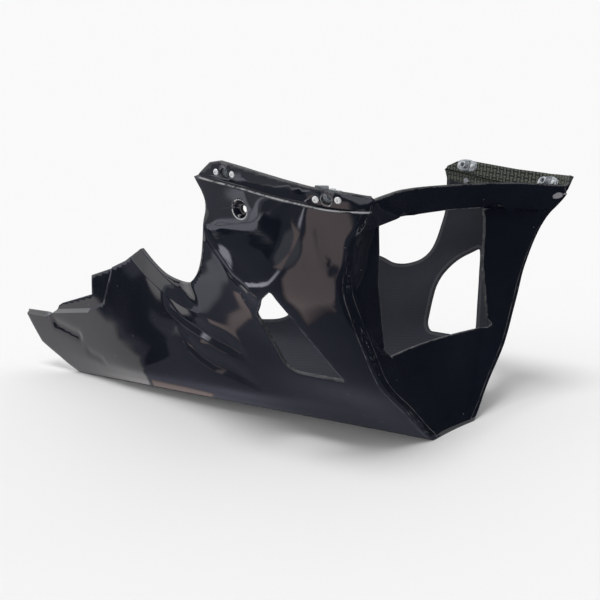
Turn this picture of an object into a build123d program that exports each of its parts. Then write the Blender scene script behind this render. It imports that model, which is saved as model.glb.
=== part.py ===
"""Motorcycle belly pan: one laid-up shell with riveted nut plates, in millimetres.

X runs forward, Y to the rider's left and Z up from the flat bottom. The body is lofted from a table of
half-widths measured from the toe, then hollowed, trimmed by side and front outlines and moved so that the
middle of its box stands on the origin.
"""

import os
from math import hypot, sqrt

from build123d import *

os.makedirs("parts", exist_ok=True)

# Laminate.
WALL = 3.0
JOGGLE = 2.5  # inboard step of the top flange
TAIL_STEP = 6.0  # inboard step of the right tail wall
FACE_STEP = 3.0  # how far the lower front panel lies behind its frame
POST_STEP = 0.4  # how far the posts beside the mouth start behind the front edge

# Body: half-widths at HEIGHTS, for stations measured forward from the toe.
HEIGHTS = (0, 15, 33, 66, 100, 130, 155, 180, 205, 230, 262)
HALF_WIDTHS = {
    60: (5.5, 21.5, 37.5, 65.5, 83.5, 99.5, 112.5, 122.5, 134.5, 146.5, 156.5),
    45: (13.5, 29.5, 46.5, 74.5, 93.5, 109.5, 123.5, 134.5, 146.5, 158.5, 168.5),
    20: (25.5, 40.5, 57.5, 87.5, 107.5, 123.5, 135.5, 147.5, 161.5, 174.5, 182.5),
    0: (34.5, 49, 65.5, 98, 116.5, 132.5, 147, 156.5, 168.5, 179.5, 186.5),
    -10: (35.7, 50.5, 68.5, 102, 123.5, 141.5, 153.5, 162.5, 171.5, 180, 186.5),
    -66: (42.5, 56.5, 74.5, 108.5, 131, 150.5, 165.5, 171.5, 175.5, 179.5, 185.5),
    -124: (49.9, 64.5, 83.5, 110.5, 127.5, 145, 159.5, 171.5, 181.5, 185, 189),
    -205: (59.9, 78.5, 100.5, 117.5, 132.5, 145.5, 154.5, 161.5, 167.5, 171.5, 175.5),
    -300: (71.5, 91.5, 109.5, 122.5, 131.5, 137, 140, 142, 143.5, 145.5, 148.5),
    -420: (86.5, 103.5, 116.5, 123.5, 128, 130.5, 131.5, 132.5, 133.5, 134.5, 135.5),
    -556: (103.5, 110.5, 116.5, 122.5, 126.5, 128.5, 129.5, 130.5, 131.5, 132.5, 133.5),
    -700: (110.5, 114.5, 118.5, 124.5, 128.5, 130.5, 131.5, 132.5, 133.5, 134.5, 135.5),
}
STATIONS = (60, 40, 20, 5, -10, -30, -60, -92, -124, -165, -205, -250, -300, -360, -420, -490, -556, -626)
LEVELS = (-6, 8, 20, 33, 50, 66, 83, 100, 115, 130, 142, 155, 168, 180, 192, 205, 218, 230, 255)
LID = 280.0

# Front edge: height, distance forward of the toe and half-width; the face between is bowed back.
FRONT_EDGE = (
    (-20, 0, 13.5), (0, 0, 34.5), (33, -0.5, 65.5), (66, -1, 98.5), (100, 0, 116.5), (133, 2, 133.1),
    (155, 5.3, 143.5), (176.5, 13.5, 148.7), (196, 24.3, 154.5), (206, 32, 155.9), (216, 39.3, 156.5),
    (224, 43.5, 157.5), (240, 49, 158.5), (290, 62, 161.5),
)
FACE_LEVELS = (-12, 12, 33, 66, 100, 133, 160, 185, 206, 220, 240, 285)
FACE_RADIUS = 330.0
POST_BOW = (
    (-12, 330), (66, 300), (86, 232), (105, 271), (120, 295), (133, 315), (148, 320), (160, 315), (172, 290),
    (185, 261), (195, 236), (206, 204), (285, 204),
)

# Outlines, seen from the right: forward of the toe and up.
RIGHT_FLANGE = ((80, 214), (46, 224.5), (30, 229.6), (13, 233.6), (-1, 236.4), (-29, 243.6), (-60, 252),
                (-96, 262.6), (-107.5, 262.4), (-128.5, 252))
LEFT_FLANGE = ((80, 232.4), (49, 232.4), (13, 236.4), (-29, 244.2), (-96, 259.4), (-108.5, 258.8), (-129, 252))
FLANGE_FOOT = ((90, 214.6), (35, 215.8), (11, 218.8), (-5, 222.6), (-76, 238.8), (-150, 257))
RIGHT_CUT = ((-122, 240.7), (-119.3, 231), (-122.7, 218), (-131.7, 202), (-151.6, 181), (-174.3, 163.6),
             (-194, 153.6), (-210, 151.2), (-228, 151.8), (-258, 157.6), (-284, 168.6), (-307, 183))
RIGHT_TAIL = ((-311, 182), (-326, 174.4), (-343, 168.6), (-380, 159.6), (-450, 146), (-457, 121),
              (-548, 103), (-560, 99), (-575, 87), (-663, 86), (-700, 85.6))
LEFT_CUT = ((-125, 240), (-124.5, 220), (-124.8, 199.7), (-126.3, 183), (-129, 164), (-133.5, 152), (-142, 144),
            (-154, 139.6), (-168, 137.6), (-184, 139), (-204, 146), (-226, 150), (-248, 147), (-279, 128),
            (-312, 98), (-345, 69), (-365, 57.6), (-405, 52), (-480, 49), (-560, 49), (-700, 51))
TAIL_END = ((-536, -10), (-555.7, 0), (-591, 20), (-634, 39), (-663, 86.5), (-672, 100))
STEP_REGION = ((-376, 166), (-405, 130), (-424, 109), (-466, 97), (-574, 87), (-600, 87))
RIGHT_WINDOW = ((-66.5, 153.5, 3), (-90, 142, 60), (-112, 126.5, 5), (-108.5, 67, 16), (-40, 66, 3))
LEFT_WINDOW = ((-70, 157.5, 3), (-96, 144.5, 45), (-112.5, 122, 40), (-110.5, 66, 14), (-41, 64, 3))

# Outlines, seen from the front: half-width and up.
MOUTH_HALF_WIDTH = 84.0
MOUTH_BOTTOM = 86.0
MOUTH_CORNER = 10.0
BAR_TOP = ((0, 231.5), (45, 231.2), (90, 229.8), (125, 226.6), (150, 224.2))
BAR_FOOT = ((0, 209.4), (49, 208.6), (82, 206.4), (110, 203.4), (132, 201.6), (160, 200))
LOWER_PANEL = ((31, 8), (49.6, 42), (69.5, 76), (77, 88), (77, 98))
POST_FOOT = ((70, 88), (96, 92), (109, 104), (113, 116), (180, 118))

# Flange fixings and the dished side holes.
NUT_PLACES = {"rear": (-93.4, 252.4), "front": (11.3, 226.6)}
NUT_SLOPE = -0.2
FLANGE_HOLE = 9.0
RIVET_PITCH = 18.0
RIVET_SHANK = 3.0
RIVET_HEAD = 5.2
RIVET_HEAD_HEIGHT = 1.3
RIVET_TAIL = 4.4
RIVET_TAIL_HEIGHT = 1.0
SPOT_DEPTH = 0.7  # of the flat that both heads of a plate sit on
SPOT_LENGTH = 24.4
SPOT_WIDTH = 6.4
PAD_LENGTH = 28.0
PAD_WIDTH = 14.0
PAD_DEPTH = 4.6  # from the flange's outside to the flat seat
PLATE_LENGTH = 26.0
PLATE_WIDTH = 11.0
PLATE = 1.2
PLATE_HOLE = 7.2
NUT_BASE = 9.6
NUT_BASE_HEIGHT = 1.1
NUT_BARREL = 8.2
NUT_LENGTH = 7.0
NUT_BORE = 5.1
CAGE_SHEET = 0.7
CAGE_LIP = 1.1
CLEARANCE = 0.1
CUP_PLACE = (-81, 222.4)
CUP_DIAMETER = 16.0
CUP_DEPTH = 4.5
CUP_HOLE = 6.5
CUP_BOSS = 22.0
DENT_ENDS = ((-572, 72.5), (-508, 61.5))
DENT_DEPTH = 1.6
DENT_RADIUS = 16.0
REACH = 260.0


def curve(xs, ys):
    """A monotone cubic through points, straight beyond its ends."""
    order = sorted(range(len(xs)), key=lambda i: xs[i])
    xs = [xs[i] for i in order]
    ys = [ys[i] for i in order]
    steps = [b - a for a, b in zip(xs, xs[1:])]
    rises = [(b - a) / h for a, b, h in zip(ys, ys[1:], steps)]
    slopes = [rises[0]]
    for before, after, left, right in zip(rises, rises[1:], steps, steps[1:]):
        if before * after <= 0:
            slopes.append(0.0)
        else:
            near, far = 2 * right + left, right + 2 * left
            slopes.append((near + far) / (near / before + far / after))
    slopes.append(rises[-1])

    def value(x):
        if x <= xs[0]:
            return ys[0] + slopes[0] * (x - xs[0])
        if x >= xs[-1]:
            return ys[-1] + slopes[-1] * (x - xs[-1])
        i = max(k for k in range(len(steps)) if xs[k] <= x)
        h, t = steps[i], (x - xs[i]) / steps[i]
        return (
            ys[i] * (1 + 2 * t) * (1 - t) ** 2
            + slopes[i] * h * t * (1 - t) ** 2
            + ys[i + 1] * t * t * (3 - 2 * t)
            + slopes[i + 1] * h * t * t * (t - 1)
        )

    return value


WATERLINES = [curve(list(HALF_WIDTHS), [row[i] for row in HALF_WIDTHS.values()]) for i in range(len(HEIGHTS))]
edge_forward = curve([p[0] for p in FRONT_EDGE], [p[1] for p in FRONT_EDGE])
edge_width = curve([p[0] for p in FRONT_EDGE], [p[2] for p in FRONT_EDGE])
post_bow = curve([p[0] for p in POST_BOW], [p[1] for p in POST_BOW])


def half_width(x, z):
    """Half-width of the body's outside."""
    return curve(HEIGHTS, [line(x) for line in WATERLINES])(z)


def slopes_at(x, z):
    """How fast the half-width grows forward and upward."""
    forward = (half_width(x + 1, z) - half_width(x - 1, z)) / 2
    upward = (half_width(x, z + 1) - half_width(x, z - 1)) / 2
    return forward, upward


def inset_width(x, z, inset):
    """Half-width of a skin that lies the given distance inside the body's outside."""
    forward, upward = slopes_at(x, z)
    return half_width(x, z) - inset * sqrt(1 + forward**2 + upward**2)


def largest(shape):
    """The one piece of a result that is wanted."""
    return max(shape.solids(), key=lambda s: s.volume)


def hull(inset, floor):
    """The body as a solid, its sides moved in by inset and its floor raised; it ends beyond every trim."""
    sections = []
    levels = LEVELS + (LID + inset,)
    upward = [(z - levels[0]) / (levels[-1] - levels[0]) for z in levels]
    downward = [1 - t for t in reversed(upward)]
    for x in STATIONS + (STATIONS[-1] - 72 - inset,):
        right = [Vector(x, -inset_width(x, z, inset), z) for z in levels]
        left = [Vector(p.X, -p.Y, p.Z) for p in reversed(right)]
        sections.append(
            Wire([
                Edge.make_spline(right, parameters=upward),
                Edge.make_line(right[-1], left[0]),
                Edge.make_spline(left, parameters=downward),
                Edge.make_line(left[-1], right[0]),
            ])
        )
    below = Pos(-300, 0, floor - 50) * Box(1200, 600, 100)
    return largest(Solid.make_loft(sections) - below)


def face_cutter(depth, bow):
    """Everything in front of the bowed front face, moved back by depth; bow gives its radius at a height."""
    sections = []
    for z in FACE_LEVELS:
        w = edge_width(z)
        side = 1.25 * w
        middle = edge_forward(z) - w * w / (2 * bow(z)) - depth
        end = middle + side * side / (2 * bow(z))
        corners = [Vector(end, -side, z), Vector(end, side, z), Vector(190, side, z), Vector(190, -side, z)]
        sections.append(
            Wire([
                Edge.make_three_point_arc(corners[0], Vector(middle, 0, z), corners[1]),
                Edge.make_line(corners[1], corners[2]),
                Edge.make_line(corners[2], corners[3]),
                Edge.make_line(corners[3], corners[0]),
            ])
        )
    return largest(Solid.make_loft(sections))


def side_prism(edges, y_from, y_to):
    """A side outline swept sideways."""
    return Pos(0, y_from, 0) * Solid.extrude(Face(Wire(edges)), Vector(0, y_to - y_from, 0))


def chain(points):
    """Straight edges through points."""
    return [Edge.make_line(a, b) for a, b in zip(points, points[1:])]


def side(points):
    return [Vector(x, 0, z) for x, z in points]


def rounded(corners):
    """A closed outline of straight edges with a radius at each corner, in the XZ plane."""
    points = [Vector(x, 0, z) for x, z, _ in corners]
    ends = []
    for i, (_, _, radius) in enumerate(corners):
        corner = points[i]
        back = (points[i - 1] - corner).normalized()
        ahead = (points[(i + 1) % len(points)] - corner).normalized()
        cosine = back.dot(ahead)
        reach = radius * sqrt((1 + cosine) / (1 - cosine))
        bisector = (back + ahead).normalized()
        middle = corner + bisector * (hypot(reach, radius) - radius)
        ends.append((corner + back * reach, middle, corner + ahead * reach))
    edges = []
    for i, (start, middle, end) in enumerate(ends):
        edges.append(Edge.make_three_point_arc(start, middle, end))
        edges.append(Edge.make_line(end, ends[(i + 1) % len(ends)][0]))
    return edges


def above(points, top, smooth):
    """The closed outline over a run of points."""
    run = side(points)
    lid = [run[-1], Vector(run[-1].X, 0, top), Vector(run[0].X, 0, top), run[0]]
    return ([Edge.make_spline(run)] if smooth else chain(run)) + chain(lid)


def top_trim(flange, cut, tail):
    """What stands above one side's top edge."""
    flange = side(flange)
    run = side(cut)
    rest = [run[-1]] + side(tail)
    lid = [rest[-1], Vector(rest[-1].X, 0, 320), Vector(flange[0].X, 0, 320), flange[0]]
    return (
        chain(flange + run[:1])
        + [Edge.make_spline(run)]
        + (chain(rest) if tail else [])
        + chain(lid)
    )


def face_bow(z):
    return FACE_RADIUS


def block(y_from, y_to, bottom, top):
    """A long box over a stretch of width and height."""
    return Pos(0, (y_from + y_to) / 2, (bottom + top) / 2) * Box(900, y_to - y_from, top - bottom)


def front_panel(points, hand):
    """A front outline on one side, swept along the pan."""
    corners = [Vector(-80, hand * y, z) for y, z in points]
    return Solid.extrude(Face(Wire(chain(corners + corners[:1]))), Vector(240, 0, 0))


def front_prism(half):
    """A front outline, given as its left half, mirrored and swept along the pan."""
    left = [Vector(-80, y, z) for y, z in half]
    right = [Vector(p.X, -p.Y, p.Z) for p in reversed(left) if p.Y > 0]
    return Solid.extrude(Face(Wire(chain(left + right + left[:1]))), Vector(240, 0, 0))


def sunk(points):
    """A step's outline moved out by the wall, for the inside."""
    return tuple((x + WALL * 0.8, z - WALL * 0.8) for x, z in points)


def step_back(points, depth, y_from, y_to):
    """What the body loses where its wall over an outline is set inboard."""
    return side_prism(above(points, 320, False), y_from, y_to) - hull(depth, -20)


def bar_line(points, height):
    return curve([p[0] for p in points], [p[1] for p in points])(height)


def fixing_plane(x, z, inset, hand):
    """A plane on the flange's outside: its Z points out and its X runs forward along the flange."""
    forward, upward = slopes_at(x, z)
    outward = Vector(-forward, hand, -upward).normalized()
    along = Vector(1, 0, NUT_SLOPE)
    along = (along - outward * along.dot(outward)).normalized()
    return Plane(origin=(x, hand * inset_width(x, z, inset), z), x_dir=along, z_dir=outward)


def disc(diameter, bottom, top, x=0.0):
    return Pos(x, 0, (bottom + top) / 2) * Cylinder(diameter / 2, top - bottom)


def make_shell():
    """The laid-up shell, without its flange holes."""
    outer = hull(0, 0)
    inner = hull(WALL, WALL)

    # The front face: a panel set back below the mouth, deep posts beside it and the bar over it.
    outer = outer - face_cutter(0, face_bow)
    outer = outer - (face_cutter(FACE_STEP, face_bow) & front_prism(LOWER_PANEL))
    posts = face_cutter(POST_STEP, post_bow)
    foot = [p for p in reversed(BAR_FOOT) if p[0] > POST_FOOT[0][0]]
    for hand in (-1, 1):
        outer = outer - (posts & front_panel(POST_FOOT + tuple(foot), hand))
    low, high = MOUTH_BOTTOM, BAR_FOOT[0][1] + WALL
    inner = inner - (face_cutter(FACE_STEP + WALL, face_bow) & block(-REACH, REACH, -50, low))
    inner = inner - (face_cutter(WALL, face_bow) & block(-REACH, REACH, high, 320))
    inner = inner - (face_cutter(WALL, face_bow) & block(-MOUTH_HALF_WIDTH + 4, MOUTH_HALF_WIDTH - 4, low, high))
    posts = face_cutter(POST_STEP + WALL, post_bow)
    for hand in (-1, 1):
        across = sorted((hand * (MOUTH_HALF_WIDTH - 4), hand * REACH))
        inner = inner - (posts & block(*across, low, high))

    # The joggled flange and the stepped tail wall.
    outer = outer - step_back(FLANGE_FOOT, JOGGLE, -REACH, REACH)
    inner = inner - step_back(sunk(FLANGE_FOOT), JOGGLE + WALL, -REACH, REACH)
    outer = outer - step_back(STEP_REGION, TAIL_STEP, -REACH, -50)
    inner = inner - step_back(sunk(STEP_REGION), TAIL_STEP + WALL, -REACH, -52)

    shell = largest(outer - inner)

    # Top edges, tail end, windows and mouth.
    shell = shell - side_prism(top_trim(RIGHT_FLANGE, RIGHT_CUT, RIGHT_TAIL), -REACH, 0)
    shell = shell - side_prism(top_trim(LEFT_FLANGE, LEFT_CUT, ()), 0, REACH)
    tail = side(TAIL_END)
    lid = [tail[-1], Vector(tail[-1].X, 0, 330), Vector(-760, 0, 330), Vector(-760, 0, -10), tail[0]]
    shell = shell - side_prism(chain(tail) + chain(lid), -REACH, REACH)
    shell = shell - side_prism(rounded(RIGHT_WINDOW), -REACH, 0)
    shell = shell - side_prism(rounded(LEFT_WINDOW), 0, REACH)
    shell = shell - mouth()
    shell = shell - front_prism(BAR_TOP + ((BAR_TOP[-1][0], 320),))
    return largest(shell)


def mouth():
    """The opening in the front face, up to the bar's foot."""
    half = [(y, z) for y, z in BAR_FOOT if y < MOUTH_HALF_WIDTH]
    half.append((MOUTH_HALF_WIDTH, bar_line(BAR_FOOT, MOUTH_HALF_WIDTH)))
    c = MOUTH_CORNER
    half += [(MOUTH_HALF_WIDTH, MOUTH_BOTTOM + c), (MOUTH_HALF_WIDTH - 0.3 * c, MOUTH_BOTTOM + 0.3 * c)]
    half += [(MOUTH_HALF_WIDTH - c, MOUTH_BOTTOM)]
    return front_prism(half)


def add_fixings(shell, planes):
    """The shell with its flat seats, flange holes, rivet holes and dished side holes."""
    for plane in planes:
        seat = Box(PAD_LENGTH, PAD_WIDTH, PAD_DEPTH - WALL / 2)
        shell = shell + plane.location * (Pos(0, 0, -(PAD_DEPTH + WALL / 2) / 2) * seat)
        cut = Pos(0, 0, (WALL - SPOT_DEPTH) / 2) * Box(SPOT_LENGTH, SPOT_WIDTH, WALL + SPOT_DEPTH)
        cut += disc(FLANGE_HOLE, -PAD_DEPTH - 1, WALL)
        for x in (-RIVET_PITCH / 2, RIVET_PITCH / 2):
            cut += disc(RIVET_SHANK + 2 * CLEARANCE, -PAD_DEPTH - 1, WALL, x)
        shell = shell - plane.location * cut
    for hand in (-1, 1):
        plane = fixing_plane(*CUP_PLACE, 0, hand)
        depth = CUP_DEPTH + WALL
        boss = Pos(0, 0, -(depth + WALL / 2) / 2) * Box(CUP_BOSS, CUP_BOSS, depth - WALL / 2)
        shell = shell + plane.location * boss
        flare = (CUP_DIAMETER - CUP_HOLE) / 2 / CUP_DEPTH
        dish = Cone(CUP_HOLE / 2, CUP_DIAMETER / 2 + flare * WALL, CUP_DEPTH + WALL)
        dish = Pos(0, 0, (WALL - CUP_DEPTH) / 2) * dish + disc(CUP_HOLE, -depth - 1, 0)
        shell = shell - plane.location * dish
    return largest(shell - dent())


def dent():
    """A spindle that presses the long shallow mark into the right tail wall."""
    (x0, z0), (x1, z1) = DENT_ENDS
    x, z = (x0 + x1) / 2, (z0 + z1) / 2
    plane = fixing_plane(x, z, 0, -1)
    along = Vector(x1 - x0, 0, z1 - z0)
    along = (along - plane.z_dir * along.dot(plane.z_dir)).normalized()
    half = hypot(x1 - x0, z1 - z0) / 2
    axis = DENT_RADIUS - DENT_DEPTH
    corners = [Vector(-half, 0, axis), Vector(-half, 0, 0), Vector(half, 0, 0), Vector(half, 0, axis)]
    outline = [
        Edge.make_line(corners[0], corners[1]),
        Edge.make_three_point_arc(corners[1], Vector(0, 0, -DENT_DEPTH), corners[2]),
        Edge.make_line(corners[2], corners[3]),
        Edge.make_line(corners[3], corners[0]),
    ]
    spindle = revolve(Face(Wire(outline)), Axis((0, 0, axis), (1, 0, 0)))
    return Plane(origin=plane.origin, x_dir=along, z_dir=plane.z_dir).location * spindle


def make_nutplate():
    """A two-lug plate whose folded edges hold its nut; its Z points out of the flange."""
    back = -PAD_DEPTH - PLATE
    plate = Pos(0, 0, back) * extrude(RectangleRounded(PLATE_LENGTH, PLATE_WIDTH, PLATE_WIDTH / 3), PLATE)
    fold = NUT_BASE_HEIGHT + 2 * CLEARANCE + CAGE_SHEET
    for side_of in (-1, 1):
        wall = NUT_BASE / 2 + 2 * CLEARANCE + CAGE_SHEET / 2
        plate += Pos(0, side_of * wall, back - fold / 2) * Box(NUT_BASE, CAGE_SHEET, fold)
        lip = wall + CAGE_SHEET / 2 - CAGE_LIP / 2
        plate += Pos(0, side_of * lip, back - fold + CAGE_SHEET / 2) * Box(NUT_BASE, CAGE_LIP, CAGE_SHEET)
    plate -= disc(PLATE_HOLE, back - 1, -PAD_DEPTH + 1)
    for x in (-RIVET_PITCH / 2, RIVET_PITCH / 2):
        plate -= disc(RIVET_SHANK + 2 * CLEARANCE, back - 1, -PAD_DEPTH + 1, x)
    return largest(plate)


def make_nut():
    """A threaded barrel on a square base, seated on its plate."""
    seat = -PAD_DEPTH - PLATE
    nut = Pos(0, 0, seat - NUT_BASE_HEIGHT / 2) * Box(NUT_BASE, NUT_BASE, NUT_BASE_HEIGHT)
    nut += disc(NUT_BARREL, seat - NUT_LENGTH, seat)
    return largest(nut - disc(NUT_BORE, seat - NUT_LENGTH - 1, seat + 1))


def make_rivet():
    """A countersunk-top rivet through the flange and the plate, with its closed tail."""
    seat = -PAD_DEPTH - PLATE
    middle = RIVET_HEAD_HEIGHT / 2 - SPOT_DEPTH
    head = Pos(0, 0, middle) * Cone(RIVET_HEAD / 2, RIVET_HEAD / 3, RIVET_HEAD_HEIGHT)
    return largest(head + disc(RIVET_SHANK, seat, 0) + disc(RIVET_TAIL, seat - RIVET_TAIL_HEIGHT, seat))


def main():
    planes = {}
    for name, hand in (("right", -1), ("left", 1)):
        for place, (x, z) in NUT_PLACES.items():
            planes[f"{name}_{place}"] = fixing_plane(x, z, JOGGLE, hand)
    shell = add_fixings(make_shell(), planes.values())
    box = shell.bounding_box()
    home = Pos(-box.center().X, 0, -box.min.Z)
    export_step(home * shell, "parts/pan_shell.step")
    plate, nut, rivet = make_nutplate(), make_nut(), make_rivet()
    nuts, rivets = [], []
    for name, plane in planes.items():
        place = home * plane.location
        export_step(place * plate, f"parts/nutplate_{name}.step")
        nuts.append(place * nut)
        rivets += [place * Pos(x, 0, 0) * rivet for x in (-RIVET_PITCH / 2, RIVET_PITCH / 2)]
    export_step(Compound(children=nuts), "parts/captive_nuts.step")
    export_step(Compound(children=rivets), "parts/flange_rivets.step")


main()
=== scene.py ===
"""Motorcycle belly pan on a pale floor: black gelcoat over a woven laminate, with riveted nut plates.

The outlines and half-widths are in millimetres from the toe of the pan, as on its drawing: x forward,
y to the rider's left, z up. at() moves them to the frame, in metres.
"""

from bisect import bisect_right
from collections import Counter
from contextlib import contextmanager
from math import atan2, cos, exp, hypot, pi, radians, sin, sqrt

import bpy
import numpy as np
from mathutils import Matrix, Vector, geometry, kdtree, noise


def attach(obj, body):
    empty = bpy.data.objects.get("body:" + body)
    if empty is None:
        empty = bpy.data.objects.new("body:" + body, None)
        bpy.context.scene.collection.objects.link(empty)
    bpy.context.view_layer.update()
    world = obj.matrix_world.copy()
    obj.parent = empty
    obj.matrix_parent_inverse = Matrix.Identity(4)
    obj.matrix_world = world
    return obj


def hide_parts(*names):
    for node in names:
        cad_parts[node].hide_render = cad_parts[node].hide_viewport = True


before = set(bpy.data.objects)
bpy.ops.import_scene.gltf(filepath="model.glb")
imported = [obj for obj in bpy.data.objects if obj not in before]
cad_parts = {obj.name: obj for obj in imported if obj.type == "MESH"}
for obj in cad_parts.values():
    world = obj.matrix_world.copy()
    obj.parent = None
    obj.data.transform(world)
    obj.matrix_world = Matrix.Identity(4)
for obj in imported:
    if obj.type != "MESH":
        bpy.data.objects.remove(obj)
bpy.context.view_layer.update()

# The toe's distance from the frame's origin, the wall, and the steps and marks moulded into it.
HOME = 308.3062
WALL = 3.0
JOGGLE = 2.5
BEAD = 0.9
DISH = 4.5
CREST_HEIGHT = 1.6
TAIL_STEP = 6.0
FACE_STEP = 3.0
POST_STEP = 0.4
FACE_RADIUS = 330.0
# Spacing of the skin's points, and how flat a waste triangle at a straight edge is.
PITCH = 4.0
FLOOR_PITCH = 6.0
RUN_STEP = 2.6
FINE_STEP = 1.2
SLIVER = 0.02
# Lines of extra points beside the front edges, and round the dish.
EDGE_LINES = (1.2, 2.6, 4.4, 7.0, 10.0)
DISH_RINGS = (4.4, 5.3, 6.3, 7.3, 8.1, 9.6)
# Heights at which the flanges meet the front edges.
RIGHT_TIP = 225.2
LEFT_TIP = 232.6
# Radii of the holes, how far the rivets stand from a seat's middle, and how deep a nut plate lies.
BOLT_HOLE = 4.5
CUP_HOLE = 3.25
THREAD = 2.55
RIVET_SHIFT = 9
PLATE_BACK = -5.8
# The farthest distance that the finishes are told.
FAR = 30.0
# Height, length and shift of the waves in the skin.
WAVES = ((0.16, 75, (0, 0, 0)), (0.05, 36, (9, 4, 2)))

HEIGHTS = (0, 15, 33, 66, 100, 130, 155, 180, 205, 230, 262)
HALF_WIDTHS = {
    60: (5.5, 21.5, 37.5, 65.5, 83.5, 99.5, 112.5, 122.5, 134.5, 146.5, 156.5),
    45: (13.5, 29.5, 46.5, 74.5, 93.5, 109.5, 123.5, 134.5, 146.5, 158.5, 168.5),
    20: (25.5, 40.5, 57.5, 87.5, 107.5, 123.5, 135.5, 147.5, 161.5, 174.5, 182.5),
    0: (34.5, 49, 65.5, 98, 116.5, 132.5, 147, 156.5, 168.5, 179.5, 186.5),
    -10: (35.7, 50.5, 68.5, 102, 123.5, 141.5, 153.5, 162.5, 171.5, 180, 186.5),
    -66: (42.5, 56.5, 74.5, 108.5, 131, 150.5, 165.5, 171.5, 175.5, 179.5, 185.5),
    -124: (49.9, 64.5, 83.5, 110.5, 127.5, 145, 159.5, 171.5, 181.5, 185, 189),
    -205: (59.9, 78.5, 100.5, 117.5, 132.5, 145.5, 154.5, 161.5, 167.5, 171.5, 175.5),
    -300: (71.5, 91.5, 109.5, 122.5, 131.5, 137, 140, 142, 143.5, 145.5, 148.5),
    -420: (86.5, 103.5, 116.5, 123.5, 128, 130.5, 131.5, 132.5, 133.5, 134.5, 135.5),
    -556: (103.5, 110.5, 116.5, 122.5, 126.5, 128.5, 129.5, 130.5, 131.5, 132.5, 133.5),
    -700: (110.5, 114.5, 118.5, 124.5, 128.5, 130.5, 131.5, 132.5, 133.5, 134.5, 135.5),
}
FRONT_EDGE = (
    (-20, 0, 13.5), (0, 0, 34.5), (33, -0.5, 65.5), (66, -1, 98.5), (100, 0, 116.5), (133, 2, 133.1),
    (155, 5.3, 143.5), (176.5, 13.5, 148.7), (196, 24.3, 154.5), (206, 32, 155.9), (216, 39.3, 156.5),
    (224, 43.5, 157.5), (240, 49, 158.5), (290, 62, 161.5),
)
POST_BOW = (
    (-12, 330), (66, 300), (86, 232), (105, 271), (120, 295), (133, 315), (148, 320), (160, 315), (172, 290),
    (185, 261), (195, 236), (206, 204), (285, 204),
)
RIGHT_FLANGE = ((46, 224.5), (30, 229.6), (13, 233.6), (-1, 236.4), (-29, 243.6), (-60, 252), (-96, 262.6),
                (-107.5, 262.4), (-128.5, 252), (-122, 240.7))
LEFT_FLANGE = ((49, 232.4), (13, 236.4), (-29, 244.2), (-96, 259.4), (-108.5, 258.8), (-129, 252),
               (-125, 240))
FLANGE_FOOT = ((90, 214.6), (40, 215.4), (33, 216), (11, 218.8), (-5, 222.6), (-40, 230), (-76, 238.8),
               (-98, 244.4), (-124, 251), (-150, 257))
RIGHT_CUT = ((-122, 240.7), (-119.3, 231), (-122.7, 218), (-131.7, 202), (-151.6, 181), (-174.3, 163.6),
             (-194, 153.6), (-210, 151.2), (-228, 151.8), (-258, 157.6), (-284, 168.6), (-307, 183))
RIGHT_TAIL = ((-307, 183), (-311, 182), (-326, 174.4), (-343, 168.6), (-380, 159.6), (-450, 146),
              (-457, 121), (-548, 103), (-560, 99), (-575, 87), (-663, 86))
LEFT_CUT = ((-125, 240), (-124.5, 220), (-124.8, 199.7), (-126.3, 183), (-129, 164), (-133.5, 152),
            (-142, 144), (-154, 139.6), (-168, 137.6), (-184, 139), (-204, 146), (-226, 150), (-248, 147),
            (-279, 128), (-312, 98), (-345, 69), (-365, 57.6), (-405, 52), (-480, 49), (-560, 49),
            (-640.8, 50.1))
RIGHT_END = ((-663, 86), (-634, 39), (-591, 20), (-555.7, 0))
LEFT_END = ((-640.8, 50.1), (-634, 39), (-591, 20), (-555.7, 0))
STEP_REGION = ((-376, 166), (-405, 130), (-424, 109), (-466, 97), (-574, 87), (-600, 80))
RIGHT_WINDOW = ((-66.5, 153.5, 3), (-90, 142, 60), (-112, 126.5, 5), (-108.5, 67, 16), (-40, 66, 3))
LEFT_WINDOW = ((-70, 157.5, 3), (-96, 144.5, 45), (-112.5, 122, 40), (-110.5, 66, 14), (-41, 64, 3))
MOUTH = ((-84, 205.8, 12), (-49, 208.6, 90), (0, 209.4, 300), (49, 208.6, 90), (84, 205.8, 7), (84, 86, 3),
         (-84, 86, 9))
BAR_TOP = ((0, 231.5), (45, 231.2), (90, 229.8), (125, 226.6), (150, 224.2))
BAR_FOOT = ((0, 209.4), (49, 208.6), (82, 206.4), (110, 203.4), (132, 201.6), (160, 200))
LOWER_PANEL = ((31, 8), (49.6, 42), (69.5, 76), (77, 88))
POST_FOOT = ((60, 86), (80, 87.5), (96, 92), (109, 104), (113, 116), (180, 118))
NUT_PLACES = {"rear": (-93.4, 252.4), "front": (11.3, 226.6)}
NUT_SLOPE = -0.2
CUP_PLACE = (-81, 222.4)
# Each crease: its foot, how far it leans in, how high it rises and over what height it fades again.
CREASES = (
    (((-330, 174), (-298.5, 154.4), (-268.2, 139.9), (-241.3, 128), (-205.6, 119.5)), 0.26, 19.0, 0.0),
    (((-262, 113.5), (-241.7, 100.8), (-221.3, 91.6), (-196.5, 79.7), (-165, 68)), 0.26, 10.0, 30.0),
    (((-256, 74), (-238.6, 59), (-223.1, 50.2), (-197.1, 44.2), (-172, 33)), 0.24, 9.0, 26.0),
)
TAIL_DENTS = ((((-572, 72.5), (-508, 61.5)), 2.2, 7.0), (((-491, 40), (-461, 33)), 0.9, 6.0))
CREST = ((-124, 212), (-120, 194), (-115, 180), (-111, 167), (-100, 159), (-94, 150))
# The camera's place, and its turn, drop and roll in degrees.
CAMERA_PLACE = (365.6, -545.8, 232.8)
CAMERA_ANGLES = (46.18, 8.68, -3.4)
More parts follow.
